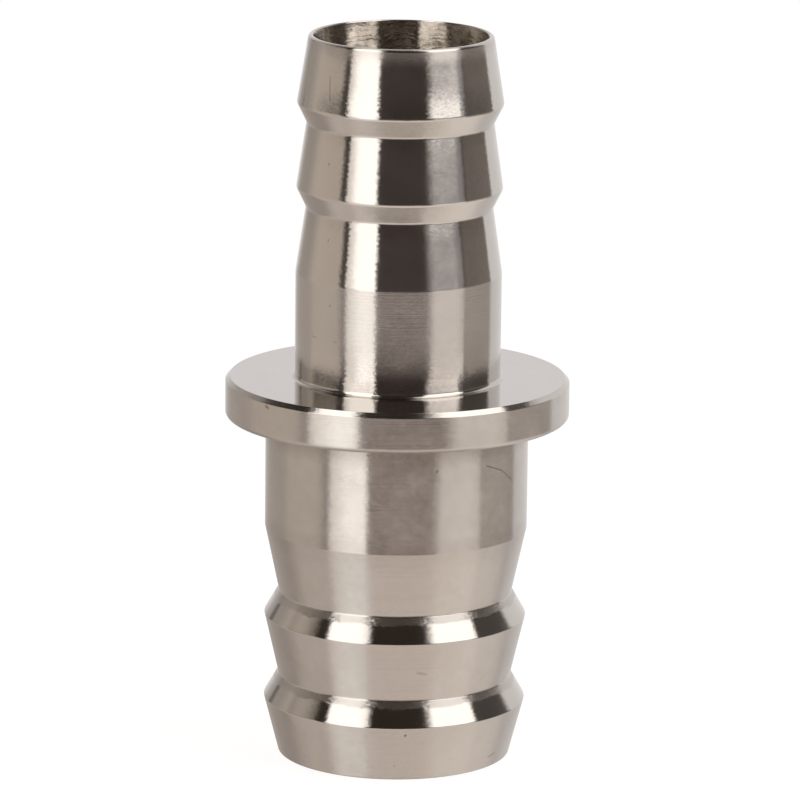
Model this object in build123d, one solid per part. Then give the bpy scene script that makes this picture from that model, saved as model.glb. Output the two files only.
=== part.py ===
from build123d import *
from math import radians, tan
import os

# Reducing hose tail: a plain flange with a barbed tail on each side and a waterway bored
# right through, all turned from one bar of stainless steel. Millimetres. The part stands
# on the end of its large tail. The origin is the centre of that end, and +Z runs up the
# axis to the end of the small tail.

# Flange, the stop that both hoses are pushed up to
flange_diameter = 35.0
flange_thickness = 4.1
flange_chamfer = 0.45  # upper edge
flange_edge_radius = 0.5  # lower edge
root_fillet = 0.4  # in the corner where each shank meets the flange

# Large tail, for hose of 25 mm bore
large_outer_diameter = 26.75  # over the shank and over the barb crests
large_barb_depth = 1.45  # from a crest in to the floor of a valley
large_valley_wall = 0.925  # metal left between a valley and the bore
large_tip_wall = 0.85  # metal left at the tip
large_barb_count = 2
large_shank_length = 11.4  # plain cylinder next to the flange
large_runout_length = 6.75  # taper from the shank in to the first valley
large_back_length = 2.5  # steep side of a barb, which holds the hose
large_ramp_length = 6.25  # taper from one barb's crest in to the next valley
large_lead_length = 5.8  # taper from the last crest to the tip
large_shoulder_radius = 0.5
large_valley_radius = 0.3
large_crest_radius = 0.2
large_tip_radius = 0.2
large_mouth_chamfer = 0.2

# Small tail, for hose of 19 mm bore
small_outer_diameter = 20.9
small_barb_depth = 0.98
small_valley_wall = 0.62
small_tip_wall = 0.48
small_barb_count = 2
small_shank_length = 10.9
small_runout_length = 6.65
small_back_length = 2.0
small_ramp_length = 6.65
small_lead_length = 6.9
small_shoulder_radius = 1.5
small_valley_radius = 0.5
small_crest_radius = 0.6
small_tip_radius = 0.35
small_mouth_chamfer = 0.1

# Waterway: a wide bore from the large end, then a drill-point cone in to the narrow bore
large_bore_depth = 33.0
drill_point_angle = 118.0


def stack_length(shank, runout, back, ramp, lead, barb_count):
    """Length of a tail: its shank, its run-out, each barb's steep side, and a taper after each."""
    return shank + runout + barb_count * back + (barb_count - 1) * ramp + lead


large_tail_length = stack_length(
    large_shank_length, large_runout_length, large_back_length,
    large_ramp_length, large_lead_length, large_barb_count,
)
small_tail_length = stack_length(
    small_shank_length, small_runout_length, small_back_length,
    small_ramp_length, small_lead_length, small_barb_count,
)
flange_underside = large_tail_length
flange_top = flange_underside + flange_thickness
small_end = flange_top + small_tail_length

large_root_radius = large_outer_diameter / 2 - large_barb_depth
small_root_radius = small_outer_diameter / 2 - small_barb_depth
large_bore_radius = large_root_radius - large_valley_wall
small_bore_radius = small_root_radius - small_valley_wall


def tail_corners(outer_radius, root_radius, tip_radius, barb_count, shank, runout, back, ramp, lead, edges):
    """Corners of a tail's outside, from the flange face out to the tip.

    Each corner is its radius from the axis, its distance from the flange face, and the
    radius of the rounding on it. A barb is a steep side from its valley out to its crest,
    then a long taper away towards the tip.
    """
    shoulder_edge, valley_edge, crest_edge, tip_edge = edges
    corners = [(outer_radius, 0, root_fillet), (outer_radius, shank, shoulder_edge)]
    reach = shank + runout
    for barb in range(barb_count):
        corners.append((root_radius, reach, valley_edge))
        corners.append((outer_radius, reach + back, crest_edge))
        reach += back + (ramp if barb < barb_count - 1 else lead)
    corners.append((tip_radius, reach, tip_edge))
    return corners


def turned(corners):
    """Solid of revolution about Z whose half section has these rounded corners."""
    points = [(radius, height) for radius, height, _ in corners]
    roundings = [rounding for _, _, rounding in corners]
    outline = FilletPolyline(*points, radius=roundings, close=True)
    return revolve(Plane.XZ * make_face(outline.edges()), axis=Axis.Z)


def outside():
    """The solid form: large tail, flange and small tail, without the waterway."""
    large = tail_corners(
        large_outer_diameter / 2, large_root_radius, large_bore_radius + large_tip_wall, large_barb_count,
        large_shank_length, large_runout_length, large_back_length, large_ramp_length, large_lead_length,
        (large_shoulder_radius, large_valley_radius, large_crest_radius, large_tip_radius),
    )
    small = tail_corners(
        small_outer_diameter / 2, small_root_radius, small_bore_radius + small_tip_wall, small_barb_count,
        small_shank_length, small_runout_length, small_back_length, small_ramp_length, small_lead_length,
        (small_shoulder_radius, small_valley_radius, small_crest_radius, small_tip_radius),
    )
    flange_radius = flange_diameter / 2
    corners = [(0, 0, 0)]
    corners += [(radius, flange_underside - reach, rounding) for radius, reach, rounding in reversed(large)]
    corners += [
        (flange_radius, flange_underside, flange_edge_radius),
        (flange_radius, flange_top - flange_chamfer, 0),
        (flange_radius - flange_chamfer, flange_top, 0),
    ]
    corners += [(radius, flange_top + reach, rounding) for radius, reach, rounding in small]
    corners.append((0, small_end, 0))
    return turned(corners)


def waterway():
    """The space bored out of it: both bores, the cone between them and the broken mouth edges."""
    cone_length = abs(large_bore_radius - small_bore_radius) / tan(radians(drill_point_angle / 2))
    return turned([
        (0, 0, 0),
        (large_bore_radius + large_mouth_chamfer, 0, 0),
        (large_bore_radius, large_mouth_chamfer, 0),
        (large_bore_radius, large_bore_depth, 0),
        (small_bore_radius, large_bore_depth + cone_length, 0),
        (small_bore_radius, small_end - small_mouth_chamfer, 0),
        (small_bore_radius + small_mouth_chamfer, small_end, 0),
        (0, small_end, 0),
    ])


hose_barb_tail = outside() - waterway()

os.makedirs("parts", exist_ok=True)
export_step(hose_barb_tail, "parts/hose_barb_tail.step")
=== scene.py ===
# %% [markdown]
# # A turned hose tail in bare stainless steel
# The object joins two hoses of different bore. It is one piece, turned on a lathe from a
# steel bar: a flange in the middle, a barbed tail on each side of it, and a bore right
# through. Everything about its shape is therefore a half section spun about one axis, and
# everything about its look is polished or satin steel showing the room around it.
# The lesson builds the section, spins it, gives each face its own finish, and then hangs
# a small studio of soft panels around it.

# %% Load the frame
from math import cos, pi, radians, sin

import bpy
import numpy as np
from mathutils import Matrix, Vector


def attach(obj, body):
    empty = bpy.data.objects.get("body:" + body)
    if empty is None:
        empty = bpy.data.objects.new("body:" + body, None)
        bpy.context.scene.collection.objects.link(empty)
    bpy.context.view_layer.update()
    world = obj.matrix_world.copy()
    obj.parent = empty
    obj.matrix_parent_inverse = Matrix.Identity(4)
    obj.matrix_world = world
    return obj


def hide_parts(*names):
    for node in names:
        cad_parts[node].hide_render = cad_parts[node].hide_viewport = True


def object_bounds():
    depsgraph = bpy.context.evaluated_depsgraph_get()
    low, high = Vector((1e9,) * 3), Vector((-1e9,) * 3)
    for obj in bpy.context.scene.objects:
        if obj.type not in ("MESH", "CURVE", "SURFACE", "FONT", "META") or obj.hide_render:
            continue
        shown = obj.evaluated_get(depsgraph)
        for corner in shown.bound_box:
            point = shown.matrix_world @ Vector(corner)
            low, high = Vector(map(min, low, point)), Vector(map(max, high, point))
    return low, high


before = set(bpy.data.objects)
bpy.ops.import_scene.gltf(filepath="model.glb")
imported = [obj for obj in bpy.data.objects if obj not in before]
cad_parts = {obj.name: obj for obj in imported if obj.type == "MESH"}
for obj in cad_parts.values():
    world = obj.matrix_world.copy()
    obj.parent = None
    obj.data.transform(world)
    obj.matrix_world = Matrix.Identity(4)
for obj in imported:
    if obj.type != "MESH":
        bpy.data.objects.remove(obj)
cad_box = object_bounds()
print("CAD box, metres:", cad_box)

# %% [markdown]
# ## The sizes a turner would read off the drawing
# All lengths are in millimetres, because the drawing is. The whole height and the flange
# come from the frame, so the skin can't grow past the solid that it covers. A tail is
# named from the flange outwards: plain shank, run-out taper, then for each barb a steep
# back that holds the hose and a long taper that lets it slide on.

# %% Sizes in millimetres
MM = 0.001
whole_height = (cad_box[1][2] - cad_box[0][2]) / MM
flange_radius = min(abs(side) for corner in cad_box for side in list(corner)[:2]) / MM
flange_thickness = 4.1
flange_chamfer = 0.45
flange_edge = 0.5
root_edge = 0.4
sharp_edge = 0.05

LARGE = dict(outer=13.375, root=11.925, tip=11.85, shank=11.4, runout=6.75, back=2.5, ramp=6.25, lead=5.8,
             shoulder_edge=0.5, valley_edge=0.3, crest_edge=0.2, tip_edge=0.2)
SMALL = dict(outer=10.45, root=9.47, tip=9.33, shank=10.9, runout=6.65, back=2.0, ramp=6.65, lead=6.9,
             shoulder_edge=1.5, valley_edge=0.5, crest_edge=0.6, tip_edge=0.35)
large_bore, large_mouth, large_bore_depth = 11.0, 0.2, 33.0
small_bore, small_mouth = 8.85, 0.1
drill_half_angle = 59
drill_cone = (large_bore - small_bore) / np.tan(radians(drill_half_angle))

faces_out = ["shank", "runout", "back", "ramp", "back", "lead"]
flange_underside = sum(LARGE[face] for face in faces_out)
flange_top = flange_underside + flange_thickness
print("flange from", round(flange_underside, 2), "to", round(flange_top, 2), "of", round(whole_height, 2))

# %% [markdown]
# ## The corners of the half section
# A corner is a radius, a height, the rounding on it, and the name of the face that
# follows it. Going once round the section, up the outside and back down the bore, keeps
# the metal on the left, so the faces of the spun surface all point outwards.

# %% Corners of the section
def tail(size):
    """One tail's outside corners, from the flange out: (radius, distance from the flange, rounding)."""
    reach = np.cumsum([0] + [size[face] for face in faces_out])
    radii = [size[name] for name in ("outer", "outer", "root", "outer", "root", "outer", "tip")]
    edges = [root_edge] + [size[name + "_edge"] for name in
                           ("shoulder", "valley", "crest", "valley", "crest", "tip")]
    return list(zip(radii, reach, edges))


corners = [(large_bore + large_mouth, 0, sharp_edge, "large_end")]
corners += [(radius, flange_underside - reach, edge, "large_" + face)
            for (radius, reach, edge), face in zip(tail(LARGE)[::-1], faces_out[::-1] + ["underside"])]
corners += [
    (flange_radius, flange_underside, flange_edge, "flange_side"),
    (flange_radius, flange_top - flange_chamfer, sharp_edge, "flange_chamfer"),
    (flange_radius - flange_chamfer, flange_top, sharp_edge, "flange_top"),
]
corners += [(radius, flange_top + reach, edge, "small_" + face)
            for (radius, reach, edge), face in zip(tail(SMALL), faces_out + ["end"])]
corners += [
    (small_bore + small_mouth, whole_height, sharp_edge, "mouth"),
    (small_bore, whole_height - small_mouth, sharp_edge, "small_bore"),
    (small_bore, large_bore_depth + drill_cone, sharp_edge, "drill_cone"),
    (large_bore, large_bore_depth, sharp_edge, "large_bore"),
    (large_bore, large_mouth, sharp_edge, "mouth"),
]
print(len(corners), "corners")


# %% [markdown]
# ## Rounding the corners
# Every corner of real turned work is rounded a little, and on shiny steel that rounding is
# what draws the thin bright and dark lines along the edges. The arc that is tangent to
# both sides of a corner starts at a distance of radius times the tangent of half the turn
# from it. All arcs are worked out at once as arrays. One ring close to each end of a
# straight face keeps the shading of that face flat right up to its edges.

# %% Rounded section
arc_steps = 8
ring_inset = 0.03
widest_inset = 0.2


def rounded_section(corners):
    """Points round the closed section, and the number of the corner that each one follows.

    For a corner P with unit directions u and v to its neighbours, the turn is the angle
    between -u and v. The arc runs from P + d u to P + d v, with d = radius tan(turn / 2),
    about a centre on the bisector. It is walked by turning the spoke from that centre.
    """
    points = np.array([corner[:2] for corner in corners], float)
    radius = np.array([corner[2] for corner in corners], float)[:, None]
    to_last = np.roll(points, 1, 0) - points
    to_next = np.roll(points, -1, 0) - points
    to_last /= np.linalg.norm(to_last, axis=1, keepdims=True)
    to_next /= np.linalg.norm(to_next, axis=1, keepdims=True)
    turn = pi - np.arccos(np.clip((to_last * to_next).sum(1, keepdims=True), -1, 1))
    start = points + to_last * radius * np.tan(turn / 2)
    bisector = to_last + to_next
    bisector /= np.linalg.norm(bisector, axis=1, keepdims=True)
    centre = points + bisector * radius / np.cos(turn / 2)
    way = np.sign(to_last[:, :1] * to_next[:, 1:] - to_last[:, 1:] * to_next[:, :1])
    angle = -way * turn * np.linspace(0, 1, arc_steps)
    spoke = start - centre
    arcs = centre[:, None] + np.stack([
        spoke[:, :1] * np.cos(angle) - spoke[:, 1:] * np.sin(angle),
        spoke[:, :1] * np.sin(angle) + spoke[:, 1:] * np.cos(angle),
    ], axis=2)
    leave, arrive = arcs[:, -1], np.roll(arcs, -1, 0)[:, 0]
    length = np.linalg.norm(arrive - leave, axis=1)
    inset = np.minimum(ring_inset / length, widest_inset)
    share = np.stack([inset, 0.5 + 0 * inset, 1 - inset], axis=1)[..., None]
    straights = leave[:, None] + (arrive - leave)[:, None] * share
    rings = np.concatenate([arcs, straights], axis=1)
    owner = np.repeat(np.arange(len(corners)), rings.shape[1])
    return rings.reshape(-1, 2), owner


section, owner = rounded_section(corners)
print(len(section), "rings; radius", section[:, 0].min().round(3), "to", section[:, 0].max().round(3))

# %% [markdown]
# ## Spinning the section
# A turned piece is a surface of revolution, so one grid of points does it: the section
# along one side of the grid, the turn along the other. The last column of faces joins back
# to the first and the last ring joins back to the first ring, so the skin has no open seam.
# A UV map keeps the two ways a turner thinks of the surface: U goes round the work, and V
# goes along the tool's path, one unit for the whole way round the section. The tool marks
# follow that map later.

# %% Lathe grid
steps_round = 192


def spin(section, steps):
    """Points (r cos a, r sin a, z) for every section point (r, z) and every angle a."""
    angle = np.linspace(0, 2 * pi, steps, endpoint=False)
    radius, height = section[:, 0][:, None], section[:, 1][:, None]
    grid = np.stack([radius * np.cos(angle), radius * np.sin(angle), height + 0 * angle], axis=2)
    return grid.reshape(-1, 3)


def grid_faces(rows, columns):
    """Four corners of each face of a grid that closes both ways: ring first, then round the turn."""
    row, column = np.meshgrid(np.arange(rows), np.arange(columns), indexing="ij")
    next_row, next_column = (row + 1) % rows, (column + 1) % columns
    faces = np.stack([row * columns + column, row * columns + next_column,
                      next_row * columns + next_column, next_row * columns + column], axis=2)
    return faces.reshape(-1, 4)


points = spin(section, steps_round) * MM
quads = grid_faces(len(section), steps_round)
skin = bpy.data.meshes.new("hose_tail_skin")
skin.from_pydata(points, [], quads)
print(len(points), "points and", 2 * len(quads), "triangles")

# %% The turner's map: U round the work, V along the tool path
path_step = np.linalg.norm(np.roll(section, -1, 0) - section, axis=1)
path_length = path_step.sum()
path_at_ring = np.concatenate([[0], np.cumsum(path_step)]) / path_length

row, column = np.divmod(np.arange(len(quads)), steps_round)
u_low, u_high = column / steps_round, (column + 1) / steps_round
v_low, v_high = path_at_ring[row], path_at_ring[row + 1]
corner_uv = np.stack([
    np.stack([u_low, v_low], 1), np.stack([u_high, v_low], 1),
    np.stack([u_high, v_high], 1), np.stack([u_low, v_high], 1),
], axis=1)
turning_map = skin.uv_layers.new(name="turning")
turning_map.data.foreach_set("uv", corner_uv.astype(np.float32).ravel())
skin.polygons.foreach_set("use_smooth", np.ones(len(quads), bool))
print("tool path", round(path_length, 1), "mm once round the section")

# %% [markdown]
# ## Small helpers for node trees
# Materials and the studio are both written as little sums. A helper adds a node, fills its
# inputs in order, and hands back its output, so that a sum reads as one line of Python.

# %% Adding a node
def add(tree, kind, *inputs, out=0, **options):
    """Adds a node with these options, fills its inputs in order, and returns one output."""
    node = tree.nodes.new(kind)
    for option, value in options.items():
        setattr(node, option, value)
    for socket, value in zip(node.inputs, inputs):
        if isinstance(value, bpy.types.NodeSocket):
            tree.links.new(value, socket)
        elif value is not None:
            socket.default_value = value
    return node.outputs[out] if node.outputs else node


def calc(tree, operation, *inputs):
    """One step of arithmetic."""
    return add(tree, "ShaderNodeMath", *inputs, operation=operation)


# %% Easing from one value to another, and laying a colour over another
def ease(tree, value, low, high, start=0.0, end=1.0):
    """Goes smoothly from start, where value is low, to end, where it is high."""
    return add(tree, "ShaderNodeMapRange", value, low, high, start, end, interpolation_type="SMOOTHSTEP")


def over(tree, share, under, top):
    """The top colour laid over the one under it, by share."""
    node = tree.nodes.new("ShaderNodeMix")
    node.data_type = "RGBA"
    share_socket, under_socket, top_socket = node.inputs[0], node.inputs[6], node.inputs[7]
    for socket, value in ((share_socket, share), (under_socket, under), (top_socket, top)):
        if isinstance(value, bpy.types.NodeSocket):
            tree.links.new(value, socket)
        else:
            socket.default_value = value if isinstance(value, float) else (*value, 1)
    return node.outputs[2]

# %% [markdown]
# ## What a cutting tool leaves on steel
# Seen close, a turned face is a very fine thread. The grooves run round the work, so light
# spreads along the axis and stays crisp round the turn. That is why the bright bands on
# such a piece have clean upright edges but fade softly up and down.
# The lines of cut are noise along a single number, the distance along the tool's path.
# Slow waves push that distance to and fro, because no machine feeds quite evenly.

# %% Lines of cut
waves_per_metre = 420.0
wave_detail, wave_fineness = 3.0, 0.65
line_detail, line_fineness = 3.0, 0.6


def slow_waves(tree, place):
    """Noise about one half, in waves some 2.4 mm long."""
    return add(tree, "ShaderNodeTexNoise", place, None, waves_per_metre, wave_detail, wave_fineness)


def lines_of_cut(tree, waves, pitch, wander):
    """Noise in lines one pitch wide along the tool path, which wander off a true circle (both in mm)."""
    turning = add(tree, "ShaderNodeUVMap", uv_map="turning")
    path = calc(tree, "MULTIPLY", add(tree, "ShaderNodeSeparateXYZ", turning, out=1), path_length)
    path = calc(tree, "MULTIPLY_ADD", waves, wander, path)
    lines = calc(tree, "DIVIDE", path, pitch)
    return add(tree, "ShaderNodeTexNoise", None, lines, 1.0, line_detail, line_fineness,
               noise_dimensions="1D")


print("slow waves every", round(1000 / waves_per_metre, 1), "mm")

# %% [markdown]
# ## Chatter
# A cutting edge is never quite still. It tips each grain of the face by a fraction of a
# degree, and so the edge of every reflection becomes slightly ragged. The grains are small
# and nearly round, because long ones would drag those edges out into streaks. Two colour
# channels of one noise give the tip round the turn and the tip along the path.

# %% Grains
grain_shape = np.array([0.6, 0.6, 1.0])
grain_detail, grain_fineness = 2.0, 0.7


def shaken_grains(tree, place, grain):
    """Noise about nought in three channels, in flat grains of a height in mm."""
    grains = add(tree, "ShaderNodeVectorMath", place, tuple(grain_shape / MM / grain), operation="MULTIPLY")
    shake = add(tree, "ShaderNodeTexNoise", grains, None, 1.0, grain_detail, grain_fineness, out=1)
    return add(tree, "ShaderNodeVectorMath", shake, (0.5, 0.5, 0.5), operation="SUBTRACT")


print("a grain is", round(grain_shape[2] / grain_shape[0], 2), "times as wide as it is high")

# %% [markdown]
# ## Scratches and specks
# A fitting that has lain in a box with others carries a few scratches and dark specks. Both
# are short lines in space that lie on the surface, and the shader darkens what is near one.
# Solid coordinates are simplest for this: the mark needs no place on a map, and it stays
# where it is from every side.

# %% A mark
mark_core = 0.3


def mark(tree, place, start, end, width):
    """How much a point lies on a mark: one on the line from start to end (mm), nought beyond its width.

    The nearest point of the line is start + t (end - start), where t is the dot product of
    the way from the start with the line, over the line's length squared, kept inside 0 to 1.
    The core of the mark, a share of its width, is at full strength.
    """
    line = (np.array(end) - np.array(start)) * MM
    per_length = tuple(line / (line @ line))
    way = add(tree, "ShaderNodeVectorMath", place, tuple(np.array(start) * MM), operation="SUBTRACT")
    along = add(tree, "ShaderNodeVectorMath", way, per_length, operation="DOT_PRODUCT", out=1)
    inside = add(tree, "ShaderNodeClamp", along)
    nearest = add(tree, "ShaderNodeVectorMath", tuple(line), None, None, inside, operation="SCALE")
    gap = add(tree, "ShaderNodeVectorMath", way, nearest, operation="DISTANCE", out=1)
    return ease(tree, gap, width * mark_core * MM, width * MM, 1.0, 0.0)


# %% [markdown]
# ## Wear and painted shade that depend on height
# Hands, hoses and a blunt corner of the tool leave their traces in rings, so on turned work
# most wear is a matter of height, and so is the shade painted under the flange. A change
# comes in between two heights and then stays. A band is a change that goes out again. The
# height is shaken by the slow waves, and so no ring ends on a ruled line.

# %% Changes and bands
ring_shake = 0.8


def change(start, end, rougher=0.0, looser=0.0, leaning=0.0, dirtier=0.0):
    """What changes between two heights in mm: roughness, chatter, lean and the share of the brown tone, which
    stands for stain and for painted shade.
    """
    return start, end, (rougher, looser, leaning, dirtier)


def band(start, full, last, end, **amounts):
    """Two changes: one that comes in from start to full, and one that goes out from last to end."""
    return [change(start, full, **amounts),
            change(last, end, **{name: -amount for name, amount in amounts.items()})]


def shaken_height(tree, place, waves):
    """Height of a point in mm, with the slow waves added."""
    height = calc(tree, "DIVIDE", add(tree, "ShaderNodeSeparateXYZ", place, out=2), MM)
    return calc(tree, "MULTIPLY_ADD", calc(tree, "SUBTRACT", waves, 0.5), ring_shake, height)


def add_wear_and_shade(tree, height, values, wear_and_shade):
    """Adds every change to the values of a finish: roughness, chatter, lean and the share of the brown tone
    for stain and painted shade.
    """
    for start, end, amounts in wear_and_shade:
        values = [calc(tree, "ADD", value, ease(tree, height, start, end, 0.0, amount))
                  for value, amount in zip(values, amounts)]
    return values


print("rings wave by", ring_shake / 2, "mm either way")

# %% [markdown]
# ## How a face tips
# A tangent space normal says directly how the face tips: red is the tip round the turn and
# green the tip along the path, both with one half for level, and blue points outwards. The
# grooves, a slow sway from hand polishing and a constant lean go along the path only.
# Chatter goes both ways, but less round the turn, where the grooves guide the edge.

# %% The tipped normal
chatter_round_turn = 0.6


def tipped_normal(tree, line, waves, shake, groove, sway, lean, chatter):
    """The shading normal of a face, from the noise of its lines, waves and grains."""
    along = calc(tree, "MULTIPLY_ADD", calc(tree, "SUBTRACT", line, 0.5), groove, lean)
    along = calc(tree, "MULTIPLY_ADD", calc(tree, "SUBTRACT", waves, 0.5), sway, along)
    level = add(tree, "ShaderNodeCombineXYZ", 0.5, calc(tree, "ADD", along, 0.5), 1.0)
    sideways = calc(tree, "MULTIPLY", chatter, chatter_round_turn)
    amount = add(tree, "ShaderNodeCombineXYZ", sideways, chatter, 0.0)
    tips = add(tree, "ShaderNodeVectorMath", shake, amount, level, operation="MULTIPLY_ADD")
    return add(tree, "ShaderNodeNormalMap", 1.0, tips, uv_map="turning")


# %% [markdown]
# ## One recipe for every turned face
# All faces are one steel, and only the tool, the feed, the wear and the painted shade differ,
# so one recipe makes every finish from a few numbers. The metal has two tones, laid out partly
# in the lines of cut and partly in soft clouds. A brown tone over it stands for old coolant stains, and under
# the flange also for painted shade.
# Anisotropy gives the wide highlight: the tangent follows the U of the turner's map, and a
# quarter turn points the wide side of the highlight along the axis.

# %% Bare steel cut by a tool
bright_steel, dull_steel = (0.605, 0.575, 0.548), (0.575, 0.543, 0.515)
stain_and_shade = (0.20, 0.165, 0.135)
clouds_per_metre = 230.0
cloud_detail, cloud_fineness = 5.0, 0.7
cloud_roughness = 0.03
noise_low, noise_high = 0.3, 0.7
quarter_turn = 0.25


def turned_finish(name, roughness, groove, pitch, chatter, grain=0.3, sway=0.0, wander=0.0, lean=0.0,
                  streak=0.3, wear_and_shade=(), smoothed=None, marks=(), metal=(bright_steel, dull_steel)):
    """Bare steel cut by a tool.

    Groove tips the face along the path from one line of cut to the next, and pitch is the
    width of a line in mm. Chatter tips it both ways in grains of a size in mm. Sway is a
    slow tip along the path, and wander is how far the lines stray from a true circle, in
    mm. Lean tips the whole face along the path, for grooves cut like saw teeth. Streak is
    how much of the tone follows the lines of cut. The list of changes by height is for wear
    and for painted shade. Smoothed is two heights between which the grooves fade, and the
    share of them that stays. Each mark is (start, end, width, strength), in mm and a share
    of the brown stain tone. Metal is its two tones.
    """
    material = bpy.data.materials.new(name)
    material.use_nodes = True
    tree = material.node_tree
    shader = tree.nodes["Principled BSDF"]

    place = add(tree, "ShaderNodeTexCoord", out=3)
    waves = slow_waves(tree, place)
    line = lines_of_cut(tree, waves, pitch, wander)
    shake = shaken_grains(tree, place, grain)
    patches = add(tree, "ShaderNodeTexNoise", place, None, clouds_per_metre, cloud_detail, cloud_fineness)
    cloud = ease(tree, patches, noise_low, noise_high)
    height = shaken_height(tree, place, waves)

    rough = calc(tree, "MULTIPLY_ADD", cloud, cloud_roughness, roughness - cloud_roughness / 2)
    rough, chatter, lean, grime_and_shade = add_wear_and_shade(tree, height, [rough, chatter, lean, 0.0], wear_and_shade)
    if smoothed:
        low, high, stays = smoothed
        groove = ease(tree, height, low, high, groove, groove * stays)

    in_lines = calc(tree, "MULTIPLY", ease(tree, line, noise_low, noise_high), streak)
    clean = calc(tree, "MULTIPLY_ADD", cloud, 1 - streak, in_lines)
    tone = over(tree, grime_and_shade, over(tree, clean, metal[1], metal[0]), stain_and_shade)
    for start, end, width, strength in marks:
        on_mark = calc(tree, "MULTIPLY", mark(tree, place, start, end, width), strength)
        tone = over(tree, on_mark, tone, stain_and_shade)

    normal = tipped_normal(tree, line, waves, shake, groove, sway, lean, chatter)
    tangent = add(tree, "ShaderNodeTangent", direction_type="UV_MAP", uv_map="turning")
    tree.links.new(tone, shader.inputs["Base Color"])
    tree.links.new(rough, shader.inputs["Roughness"])
    tree.links.new(normal, shader.inputs["Normal"])
    tree.links.new(tangent, shader.inputs["Tangent"])
    shader.inputs["Metallic"].default_value = 1.0
    shader.inputs["Anisotropic"].default_value = 1.0
    shader.inputs["Anisotropic Rotation"].default_value = quarter_turn
    print(name, "from", len(tree.nodes), "nodes")
    return material


# %% [markdown]
# ## The small barbs, cut bright
# A fresh tip and a fine feed leave the ramps and backs of the small tail almost like
# mirrors, so roughness and groove are low. Under each valley the tool slowed down to turn
# round, and there it cut a little looser and left a trace of stain.

# %% Bright turned steel
FINISHES = {}
specks_under_barbs = [
    ((-7.07, -6.99, 62.3), (-7.1, -6.99, 62.5), 0.13, 0.5),
    ((-7.1, -6.8, 54.5), (-7.1, -6.8, 54.7), 0.12, 0.5),
]
slowing = dict(looser=0.02, leaning=0.015, dirtier=0.04)
FINISHES["bright_turned"] = turned_finish(
    "bright_turned_steel", roughness=0.14, groove=0.015, pitch=0.09, chatter=0.045,
    grain=0.25, sway=0.012,
    wear_and_shade=band(63.6, 65.2, 65.6, 65.9, **slowing) + band(54.8, 56.4, 56.9, 57.2, **slowing),
    marks=specks_under_barbs)

# %% [markdown]
# ## The backs of the large barbs
# A steep back is cut by the side of the tip on its way in. Most of it comes out bright, but
# next to the valley the tip rubs more than it cuts and tears the steel. That torn band is
# rougher and looser, and coolant clings to it.

# %% Back cut
torn = dict(rougher=0.19, looser=0.13, dirtier=0.1)
FINISHES["back_cut"] = turned_finish(
    "back_cut_steel", roughness=0.14, groove=0.015, pitch=0.09, chatter=0.035,
    grain=0.22, sway=0.012, wander=0.3,
    wear_and_shade=band(7.4, 7.7, 9.0, 9.5, **torn) + [change(16.15, 16.4, **torn)])

# %% [markdown]
# ## The rim of the small tail
# The mouth is where other fittings knock against it and where a hose is pushed on. Its last
# two millimetres are dulled. Lower down on the same lead the cut leans a little towards the
# ceiling, and so it picks up the edge of a lamp as a mottled strip.

# %% Worn rim
scratch_on_rim = [((-7.05, -6.9, 71.2), (-7.03, -7.4, 68.9), 0.09, 0.6)]
FINISHES["rim_worn"] = turned_finish(
    "rim_worn_steel", roughness=0.15, groove=0.015, pitch=0.09, chatter=0.045,
    grain=0.22, sway=0.05,
    wear_and_shade=[change(72.4, 74.2, rougher=0.17, looser=0.02), change(71.0, 68.0, looser=0.03, leaning=0.045)],
    marks=scratch_on_rim)

# %% [markdown]
# ## The large tail and the flange, satin
# Emery cloth held against the turning work gives satin: very fine grooves that are steep
# for their width. Roughness itself stays low, or the upright edges of the reflections would
# blur too. Under the flange the steel is painted darker and browner, partly dirt from handling
# and partly painted shade from the flange above it, and a faint darker ring lies at the
# shoulder. Most of the small scratches and specks are here, because this is the widest part.

# %% Satin turned steel
worn_steel = (0.535, 0.50, 0.468)
satin_marks = [
    ((1.19, -13.1, 5.0), (1.25, -13.1, 5.05), 0.16, 0.9),
    ((0.12, -12.2, 1.6), (0.15, -12.2, 1.6), 0.13, 0.8),
    ((-12.9, -11.8, 38.5), (-13.1, -11.6, 38.6), 0.22, 0.7),
    ((4.07, -12.74, 32.3), (4.1, -12.7, 32.4), 0.16, 0.5),
    ((9.1, -9.8, 32.3), (10.6, -8.2, 31.5), 0.12, 0.55),
    ((10.6, -8.2, 31.5), (11.6, -6.7, 30.2), 0.12, 0.45),
    ((9.7, -7.2, 1.3), (10.2, -6.6, 1.4), 0.30, 0.3),
    ((2.4, -12.4, 11.4), (3.2, -12.2, 11.2), 0.25, 0.2),
]
# The first band paints shade under the flange together with dirt; the second darkens a faint ring at the
# shoulder.
FINISHES["satin_turned"] = turned_finish(
    "satin_turned_steel", roughness=0.22, groove=0.36, pitch=0.03, chatter=0.04,
    sway=0.06, wander=0.3, lean=-0.004,
    wear_and_shade=(band(32.2, 34.4, 35.0, 35.2, rougher=0.03, looser=0.02, dirtier=0.28)
          + band(25.6, 24.3, 23.8, 21.0, dirtier=0.1)),
    marks=satin_marks, metal=(bright_steel, worn_steel))

# %% [markdown]
# ## The root of the small tail
# The plain shank above the flange starts as satin too, in slightly wider lines. The cloth
# can't reach the corner at the flange, so towards it the grooves fade, and the steel gets
# as bright as the tool left it.

# %% Root
root_marks = [
    ((-6.8, -7.9, 48.1), (-6.8, -7.9, 48.2), 0.15, 0.4),
    ((-8.7, -5.9, 44.6), (-6.2, -8.4, 44.5), 0.10, 0.35),
]
FINISHES["root_bright"] = turned_finish(
    "root_bright_steel", roughness=0.22, groove=0.34, pitch=0.045, chatter=0.05,
    grain=0.22, sway=0.04, wander=0.3, streak=0.5,
    wear_and_shade=[change(45.5, 40.6, rougher=-0.09, looser=0.03)], smoothed=(45.5, 41.5, 0.25),
    marks=root_marks)

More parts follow.
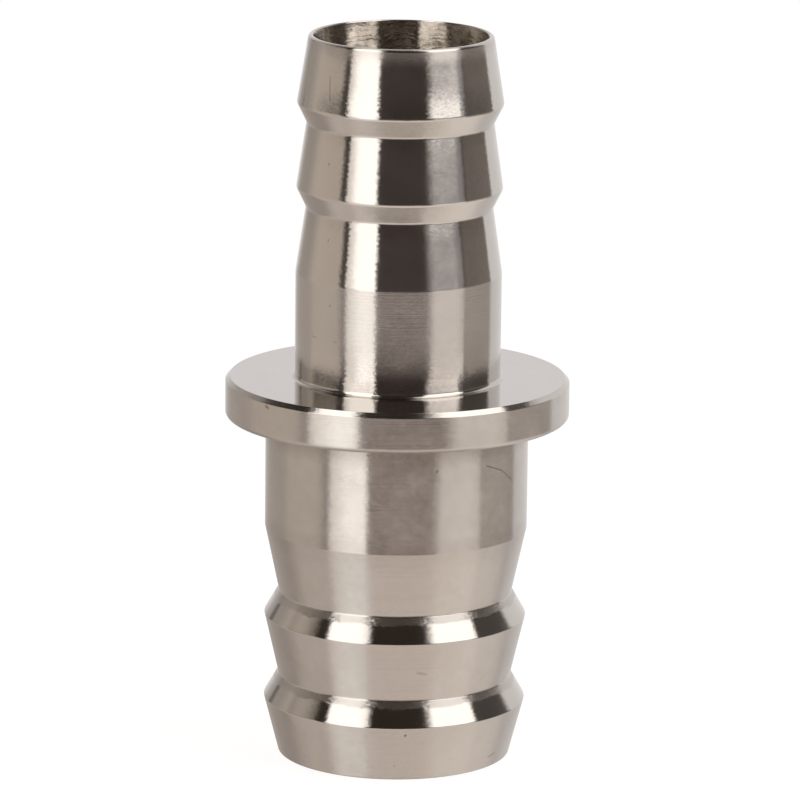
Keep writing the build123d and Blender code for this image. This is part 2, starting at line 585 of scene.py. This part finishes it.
# %% [markdown]
# ## The flat faces
# The faces of the flange were faced with a wide tip and are the brightest of all. They show
# the tail standing on them. The two ends were only parted off and touched up.

# %% Faced and parted steel
FINISHES["faced"] = turned_finish("faced_steel", roughness=0.07, groove=0.01, pitch=0.2, chatter=0.01)
FINISHES["end_face"] = turned_finish("end_face_steel", roughness=0.2, groove=0.02, pitch=0.2, chatter=0.02)

# %% [markdown]
# ## The bore
# A drill cuts at its tip and scrapes with its sides, so the bore is the roughest face:
# coarse lines that wander and lean. Its second tone is a dark brown, which stands partly for oil dried
# between the lines and partly for painted shade inside the deep bore.

# %% Bored steel
# The dark second tone is partly dried oil and partly painted shade inside the bore.
oily_and_shaded_steel = ((0.60, 0.55, 0.49), (0.24, 0.205, 0.17))
FINISHES["bored"] = turned_finish(
    "bored_steel", roughness=0.2, groove=0.85, pitch=0.30, chatter=0.08,
    sway=0.5, wander=2.0, lean=-0.10, streak=0.6, metal=oily_and_shaded_steel)

# %% [markdown]
# ## Giving each face its finish
# The section already knows which face every ring belongs to, so the finish of a face of the
# mesh follows from its ring. No point is picked by hand, and the border between two finishes
# lies exactly on the corner where the tool changed direction.

# %% Faces and finishes
FACE_FINISH = {
    "large_end": "end_face", "large_lead": "satin_turned", "large_back": "back_cut",
    "large_ramp": "satin_turned", "large_runout": "satin_turned", "large_shank": "satin_turned",
    "large_underside": "faced", "flange_side": "satin_turned", "flange_chamfer": "bright_turned",
    "flange_top": "faced", "small_shank": "root_bright", "small_runout": "bright_turned",
    "small_back": "bright_turned", "small_ramp": "bright_turned", "small_lead": "rim_worn",
    "small_end": "end_face", "mouth": "end_face", "small_bore": "bored", "drill_cone": "bored",
    "large_bore": "bored",
}
finish_names = list(FINISHES)
for finish in FINISHES.values():
    skin.materials.append(finish)
finish_of_corner = np.array([finish_names.index(FACE_FINISH[corner[3]]) for corner in corners])
finish_of_ring = finish_of_corner[owner]
skin.polygons.foreach_set("material_index", finish_of_ring[row].astype(np.int32))
skin.update()
print({finish: int((finish_of_ring == n).sum()) for n, finish in enumerate(finish_names)}, "rings each")

# %% [markdown]
# ## Onto the frame
# The skin stands in for the imported solid and rides on the body that the solid is part of.

# %% Put the piece on the frame
hose_tail = bpy.data.objects.new("hose_tail", skin)
bpy.context.scene.collection.objects.link(hose_tail)
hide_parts("hose_barb_tail")
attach(hose_tail, "root")
print("piece on body root:", hose_tail.name)

# %% [markdown]
# ## A studio made of soft panels
# Polished steel has hardly a colour of its own. It shows the room, so the room is most of
# the look, and it is built as a dome far away: a world whose colour depends only on the
# direction of the ray. Whatever hangs in the studio is a patch of sky with four straight
# sides. Each side is part of a great circle, and a ray lies inside it when its dot product
# with that circle's normal is positive. The product of four soft steps is the panel.

# %% An empty dome
world = bpy.data.worlds.new("studio_dome")
bpy.context.scene.world = world
world.use_nodes = True
dome = world.node_tree
dome.nodes.clear()
ray = add(dome, "ShaderNodeTexCoord", out=0)
ray_up = add(dome, "ShaderNodeSeparateXYZ", ray, out=2)


def direction(azimuth, elevation):
    """Unit vector: azimuth 0 points to the camera, 90 to the camera's right; elevation is up."""
    turn, lift = radians(azimuth), radians(elevation)
    return np.array([cos(lift) * sin(turn), -cos(lift) * cos(turn), sin(lift)])


print("a lamp at 45, 30 hangs towards", direction(45, 30).round(2))


# %% A panel
def upright(left, right, low, high):
    """Corners of a panel with level and upright sides, from the top left one round to the lower left one."""
    return [(left, high), (right, high), (right, low), (left, low)]


def panel(under, colour, places, softness):
    """Lays a panel over the room.

    Its corners are (azimuth, elevation) in order round it, and softness says in degrees how
    gently each side ends, starting with the side between the first two corners.
    """
    looks = [direction(*place) for place in places]
    middle = np.sum(looks, axis=0)
    share = 1.0
    for here, there, soft in zip(looks, looks[1:] + looks[:1], softness):
        normal = np.cross(here, there)
        normal *= np.sign(normal @ middle) / np.linalg.norm(normal)
        depth = add(dome, "ShaderNodeVectorMath", ray, tuple(normal), operation="DOT_PRODUCT", out=1)
        share = calc(dome, "MULTIPLY", ease(dome, depth, -sin(radians(soft)), sin(radians(soft))), share)
    return over(dome, share, under, colour)


# %% [markdown]
# ## The bare room
# The studio is dark in front of the work and above it, which is what makes the dark bands
# between the bright ones. Below the level of the work the steel sees the pale table top,
# and close under itself the part of the table that its own body shades.

# %% Room and table by elevation
ROOM = {
    "dark room": (0.066, 0.054, 0.05),
    "ceiling": (0.036, 0.028, 0.022),
    "table": (1.06, 0.925, 0.85),
    "table near the work": (0.5, 0.45, 0.39),
}
room = ROOM["dark room"]
for name, start, end in (("ceiling", 0, 36), ("table", -12, -28), ("table near the work", -50, -62)):
    share = ease(dome, ray_up, sin(radians(start)), sin(radians(end)))
    room = over(dome, share, room, ROOM[name])
print("room of", len(ROOM), "colours")

# %% [markdown]
# ## The table around the work
# The lamps stand to the left and right, so the table isn't lit evenly: it is palest along its
# edge on the right, and darker on the left and behind. The table shows in the faces that
# look down, such as the ramps of the large tail, and its bright edge in the upright shanks.

# %% Table
TABLE = {
    "table, right": ((0.97, 0.885, 0.80), [(40, -18), (84, -18), (88, -56), (40, -56)], (3, 6, 8, 4)),
    "table, far right": ((1.0, 0.925, 0.85), [(84, -18), (122, -18), (122, -60), (88, -60)], (4, 8, 8, 6)),
    "table edge, right": ((1.15, 1.06, 0.975), upright(38, 81, -20, -7), (3, 5, 3, 6)),
    "table, back right": ((0.71, 0.675, 0.65), upright(122, 190, -70, -10), (8, 8, 12, 8)),
    "table, left": ((0.68, 0.615, 0.555), upright(-66, -108, -60, -16), (6, 12, 12, 12)),
    "table, far left": ((0.43, 0.385, 0.35), upright(-108, -168, -52, -16), (6, 12, 12, 12)),
}
print("table:", ", ".join(TABLE))

# %% [markdown]
# ## Walls
# The wall on the left is close and warm, with a dark gap across it. The wall on the right is
# far and dim, and dimmer still towards its top. Each has a paler foot, because that is where
# the table's light reaches it. The feet fill the sides of the shanks. The narrow dark place
# between the left wall and the left lamp gives that lamp's bright band its outline.

# %% Walls
WALLS = {
    "left wall, end": ((0.44, 0.397, 0.36),
                       [(-100, 28), (-160, 33), (-160, -10), (-100, -10)], (8, 14, 5, 10)),
    "left wall": ((0.67, 0.59, 0.505), [(-77.5, 28), (-117, 33), (-117, -10), (-65.5, -10)], (5, 13, 5, 3)),
    "gap across it": ((0.09, 0.08, 0.072), [(-62, 18), (-110, 20), (-110, 10), (-62, 8.5)], (3, 5, 3, 3)),
    "foot of its end": ((0.56, 0.507, 0.463), upright(-117, -160, -19, -9), (4, 10, 5, 8)),
    "foot of the left wall": ((0.72, 0.63, 0.557), upright(-65.5, -117, -19, -9), (4, 8, 5, 3)),
    "right wall": ((0.19, 0.167, 0.147), [(79, 44), (124.5, 44), (124.5, -16), (80, -16)], (8, 3, 4, 3)),
    "right wall, upper part": ((0.085, 0.076, 0.068), upright(80, 124.5, 9, 52), (8, 3, 5, 3)),
    "foot of the right wall": ((0.52, 0.467, 0.42), upright(81, 123, -19, -7), (5, 4, 4, 4)),
}
print("walls:", ", ".join(WALLS))

# %% [markdown]
# ## The backdrop
# White paper hangs behind the work and rolls forward over it. It is lit only by what the
# lamps spill, so the steel sees it a little darker than plain white. The steel close to its
# right outline mirrors the paper, and that is why it is pale there.

# %% Backdrop
BACKDROP = (0.87, 0.845, 0.83)
ROLL = {
    "backdrop, right": (BACKDROP, [(123, 39), (190, 39), (190, -14), (124, -14)], (3, 3, 6, 3)),
    "backdrop, left": ((0.68, 0.66, 0.645), [(-143, 39), (-190, 39), (-190, -14), (-154, -14)], (3, 3, 6, 9)),
    "backdrop, middle": ((0.87, 0.84, 0.85), upright(165, 195, -14, 39), (3, 12, 6, 12)),
    "paper roll overhead": ((0.80, 0.775, 0.76), [(128, 36), (232, 36), (215, 78), (145, 78)], (6, 4, 8, 6)),
    "gap by the backdrop": ((0.20, 0.18, 0.17), upright(-143, -136.5, 1, 16), (5, 1.5, 2, 1.5)),
}
print("backdrop:", ", ".join(ROLL))

# %% [markdown]
# ## Softboxes
# Two softboxes light the work. The left one stands down to the table, leans over the work
# at its top and fades towards its outer side. It is a bright upright band on every shank
# and on the barb faces that look up. The right one hangs higher, with a dim reflector below
# it, and only the steep backs of the large tail look up far enough to mirror it. On that
# side the small barbs show the reflector, and the shanks show the edge of the table.

# %% Softboxes
SOFTBOX = (2.0, 1.92, 1.83)
LAMPS = {
    "right reflector": ((0.30, 0.289, 0.297), upright(37.5, 77.5, -7, 14), (3, 3, 3, 6)),
    "left softbox on the table": ((1.0, 0.965, 0.92), upright(-26, -62, -52, -14), (4, 5, 8, 5)),
    "left softbox": (SOFTBOX, [(-25.3, -15), (-26.1, 50), (-64.2, 28), (-57, -15)], (2.5, 3, 3, 4)),
    "its outer side": ((1.05, 0.985, 0.91), [(-43, -15), (-60, 16), (-63, 16), (-57.5, -15)], (5, 4, 3, 4)),
    "its top": (SOFTBOX, [(-29, 35), (-158, 72), (-130.5, 69), (-62, 22)], (3, 4, 2, 4)),
    "right softbox": (SOFTBOX, [(33, 12.3), (137, 82), (123.5, 55.6), (68.8, 8.9)], (5, 4, 1.5, 2.5)),
}
print("lamps:", ", ".join(LAMPS))

# %% Hang everything, each panel over the ones before it
for hung in (TABLE, WALLS, ROLL, LAMPS):
    for colour, places, softness in hung.values():
        room = panel(room, colour, places, softness)
print(sum(len(hung) for hung in (TABLE, WALLS, ROLL, LAMPS)), "panels hung")

# %% [markdown]
# ## A white background for the camera
# The camera's own rays take the whole dome as plain white. Strength 1 is white as it stands,
# so the background needs no more light on the work.

# %% The camera sees white
camera_ray = add(dome, "ShaderNodeLightPath", out=0)
room = over(dome, camera_ray, room, (1.0, 1.0, 1.0))
add(dome, "ShaderNodeOutputWorld", add(dome, "ShaderNodeBackground", room, 1.0))
print(len(dome.nodes), "nodes in the studio")

# %% [markdown]
# ## The table top
# The tail stands on its large end on a white table top. It is one flat round face, wide
# enough that its rim never shows. Close to the work it is an honest diffuse surface and
# keeps the soft shadow. The polished faces look past it to the dome, because the dome's
# lower half already is the table as the steel sees it.

# %% Table top
table_reach = 1.2
table_steps = 96
rim_angle = np.linspace(0, 2 * pi, table_steps, endpoint=False)
table_rim = table_reach * np.stack([np.cos(rim_angle), np.sin(rim_angle), 0 * rim_angle], axis=1)
table_mesh = bpy.data.meshes.new("table_top")
table_mesh.from_pydata(table_rim, [], [tuple(range(table_steps))])
table = bpy.data.objects.new("table_top", table_mesh)
bpy.context.scene.collection.objects.link(table)
table.visible_glossy = False
print("table top", 2 * table_reach, "m across")

# %% [markdown]
# ## White paper that keeps a shadow
# Under this light bare paper looks grey: it sends back about half of white. Glow makes up
# the rest, so paper in full light is plain white, and a shadow stays as the part of the
# bare paper's light that is missing. The share of glow grows with distance, until the far
# paper is all glow and no horizon shows. Only the camera sees the glow: it lights nothing.

# %% Paper
bare_paper = 0.48
glow_near, glow_far = 0.7, 1.0
near, far = 0.03, 0.16
matt_white, plain_white = (0.9, 0.9, 0.9, 1), (1, 1, 1, 1)
paper = bpy.data.materials.new("white_table")
paper.use_nodes = True
tree = paper.node_tree
tree.nodes.clear()
spot = add(tree, "ShaderNodeTexCoord", out=3)
distance = add(tree, "ShaderNodeVectorMath", spot, operation="LENGTH", out=1)
share = ease(tree, distance, near, far, glow_near, glow_far)
bare_light = calc(tree, "MULTIPLY", calc(tree, "SUBTRACT", 1.0, share), bare_paper)
missing = calc(tree, "DIVIDE", calc(tree, "SUBTRACT", 1.0, bare_light), share)
matt = add(tree, "ShaderNodeBsdfDiffuse", matt_white)
white = add(tree, "ShaderNodeEmission", plain_white, missing)
seen = calc(tree, "MULTIPLY", share, add(tree, "ShaderNodeLightPath", out=0))
add(tree, "ShaderNodeOutputMaterial", add(tree, "ShaderNodeMixShader", seen, matt, white))
table_mesh.materials.append(paper)
print("glow near the work", round((1 - (1 - glow_near) * bare_paper) / glow_near, 3))

# %% [markdown]
# ## The camera
# A long lens from a little above keeps the barbs nearly parallel and shows the flange's top
# as a narrow ellipse. The camera stands 0.63 m away, looks down 13 degrees, and is rolled by
# less than a degree.

# %% Camera
aim = np.array([0.000285, 0.0, 0.036733])
camera_distance, look_down, roll = 0.62907, radians(12.98), radians(0.68)
level_right = np.array([1.0, 0.0, 0.0])
level_up = np.array([0.0, sin(look_down), cos(look_down)])
backwards = np.array([0.0, -cos(look_down), sin(look_down)])
right = cos(roll) * level_right + sin(roll) * level_up
up = cos(roll) * level_up - sin(roll) * level_right

camera_data = bpy.data.cameras.new("camera")
camera_data.sensor_width = 36.0
camera_data.lens = 278.2
camera_data.clip_start = 0.01
camera = bpy.data.objects.new("camera", camera_data)
bpy.context.scene.collection.objects.link(camera)
place = np.eye(4)
place[:3] = np.stack([right, up, backwards, aim + camera_distance * backwards], axis=1)
camera.matrix_world = Matrix(place.tolist())
bpy.context.scene.camera = camera
bpy.context.scene.view_settings.view_transform = "Standard"
print("camera at", place[:3, 3].round(4))
